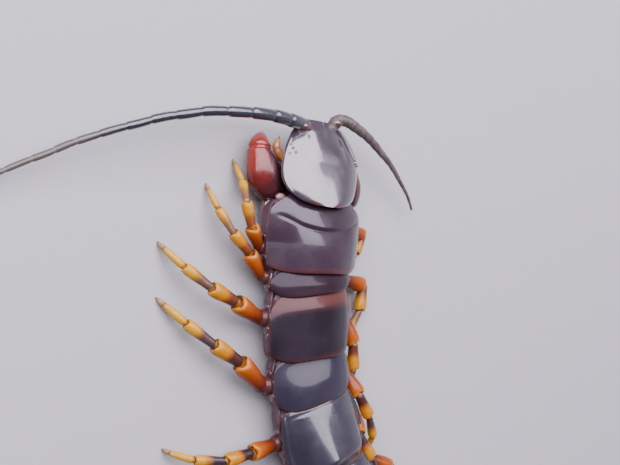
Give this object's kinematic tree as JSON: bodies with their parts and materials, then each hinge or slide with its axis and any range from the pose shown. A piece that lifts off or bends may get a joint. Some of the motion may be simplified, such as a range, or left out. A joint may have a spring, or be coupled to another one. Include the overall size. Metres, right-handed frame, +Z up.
{
  "type": "giant centipede",
  "caption": "Life-size giant centipede with a flattened, gently curved plated body, spread banded legs, red fangs, long antennae and trailing last legs, resting on its feet.",
  "frame": {"origin": "bottom centre of the whole animal's box, on the floor it stands on", "axes": "+Y runs from the head towards the tail, +X is the animal's left, +Z is up"},
  "size_m": [0.1386, 0.2964, 0.0103],
  "materials": {
    "head_shell": "glossy shell",
    "body_shell": "glossy shell",
    "fang": "glossy shell",
    "mouth": "satin shell",
    "antenna": "satin shell, finely haired towards the tip",
    "leg": "glossy shell, dark bands",
    "tail_leg": "glossy shell, dark bands"
  },
  "bodies": {
    "root": {"head": "head_shell", "maxillae": "mouth", "antenna_left": "antenna", "antenna_right": "antenna", "forcipule_left": "fang", "forcipule_right": "fang", "trunk_01": "body_shell", "trunk_02_03": "body_shell", "trunk_04_05": "body_shell", "trunk_06_07": "body_shell", "trunk_08_09": "body_shell", "trunk_10_11": "body_shell", "trunk_12_13": "body_shell", "trunk_14_15": "body_shell", "trunk_16_17": "body_shell", "trunk_18_19": "body_shell", "trunk_20_21": "body_shell", "leg_left_01": "leg", "leg_left_02": "leg", "leg_left_03": "leg", "leg_left_04": "leg", "leg_left_05": "leg", "leg_left_06": "leg", "leg_left_07": "leg", "leg_left_08": "leg", "leg_left_09": "leg", "leg_left_10": "leg", "leg_left_11": "leg", "leg_left_12": "leg", "leg_left_13": "leg", "leg_left_14": "leg", "leg_left_15": "leg", "leg_left_16": "leg", "leg_left_17": "leg", "leg_left_18": "leg", "leg_left_19": "leg", "leg_left_20": "leg", "leg_right_01": "leg", "leg_right_02": "leg", "leg_right_03": "leg", "leg_right_04": "leg", "leg_right_05": "leg", "leg_right_06": "leg", "leg_right_07": "leg", "leg_right_08": "leg", "leg_right_09": "leg", "leg_right_10": "leg", "leg_right_11": "leg", "leg_right_12": "leg", "leg_right_13": "leg", "leg_right_14": "leg", "leg_right_15": "leg", "leg_right_16": "leg", "leg_right_17": "leg", "leg_right_18": "leg", "leg_right_19": "leg", "leg_right_20": "leg", "ultimate_leg_left": "tail_leg", "ultimate_leg_right": "tail_leg"}
  },
  "joints": []
}
